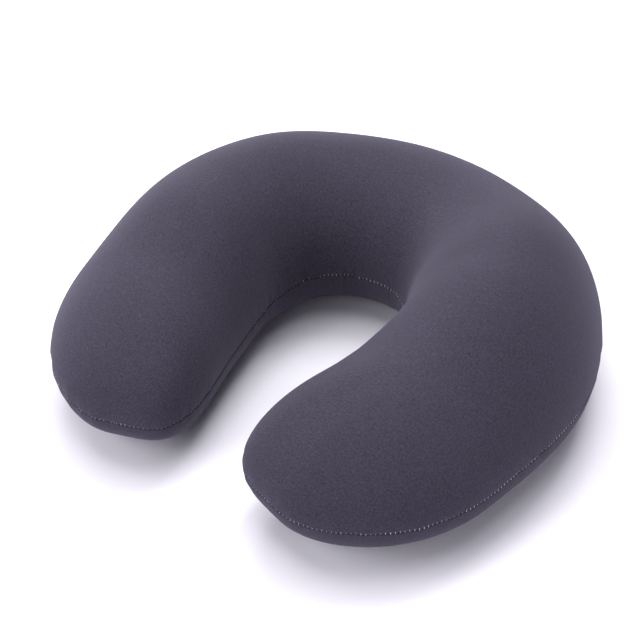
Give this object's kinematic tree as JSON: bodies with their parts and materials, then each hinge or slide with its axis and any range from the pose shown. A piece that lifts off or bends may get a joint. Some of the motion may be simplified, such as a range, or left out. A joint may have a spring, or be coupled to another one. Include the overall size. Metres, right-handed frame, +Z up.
{
  "type": "u shaped neck pillow",
  "caption": "Horseshoe neck pillow with a domed top panel and a shallow bottom panel in stretch knit, over a bead-filled inner bag; both arms flex open.",
  "frame": {"origin": "centre of the footprint, on the flat underside", "axes": "+Z up, +Y towards the nape, -Y towards the tips of the arms, X across"},
  "size_m": [0.2872, 0.2826, 0.1001],
  "materials": {
    "cover_knit": "brushed dark slate stretch knit with a soft sheen",
    "seam_thread": "pale grey polyester thread",
    "overlock_thread": "dark grey woolly thread",
    "liner_cloth": "thin off-white knit",
    "liner_thread": "white polyester thread",
    "bead_filling": "white polystyrene micro beads"
  },
  "bodies": {
    "nape": {"cover_top_panel_nape": "cover_knit", "cover_bottom_panel_nape": "cover_knit", "cover_seam_thread_nape": "seam_thread", "cover_overlock_thread_nape": "overlock_thread", "liner_top_panel_nape": "liner_cloth", "liner_bottom_panel_nape": "liner_cloth", "liner_seam_thread_nape": "liner_thread", "liner_overlock_thread_nape": "liner_thread", "bead_filling_nape": "bead_filling"},
    "left_arm": {"cover_top_panel_left_arm": "cover_knit", "cover_bottom_panel_left_arm": "cover_knit", "cover_seam_thread_left_arm": "seam_thread", "cover_overlock_thread_left_arm": "overlock_thread", "liner_top_panel_left_arm": "liner_cloth", "liner_bottom_panel_left_arm": "liner_cloth", "liner_seam_thread_left_arm": "liner_thread", "liner_overlock_thread_left_arm": "liner_thread", "bead_filling_left_arm": "bead_filling"},
    "right_arm": {"cover_top_panel_right_arm": "cover_knit", "cover_bottom_panel_right_arm": "cover_knit", "cover_seam_thread_right_arm": "seam_thread", "cover_overlock_thread_right_arm": "overlock_thread", "liner_top_panel_right_arm": "liner_cloth", "liner_bottom_panel_right_arm": "liner_cloth", "liner_seam_thread_right_arm": "liner_thread", "liner_overlock_thread_right_arm": "liner_thread", "bead_filling_right_arm": "bead_filling"}
  },
  "joints": [
    {"name": "left_arm_flex", "type": "hinge", "parent": "nape", "child": "left_arm", "pos_m": [-0.1437, -0.0142, 0.033], "axis": [0, 0, -1], "range_deg": [0, 12], "stiffness_Nm_per_rad": 1.5},
    {"name": "right_arm_flex", "type": "hinge", "parent": "nape", "child": "right_arm", "pos_m": [0.1437, -0.0142, 0.033], "axis": [0, 0, 1], "range_deg": [0, 12], "stiffness_Nm_per_rad": 1.5}
  ]
}
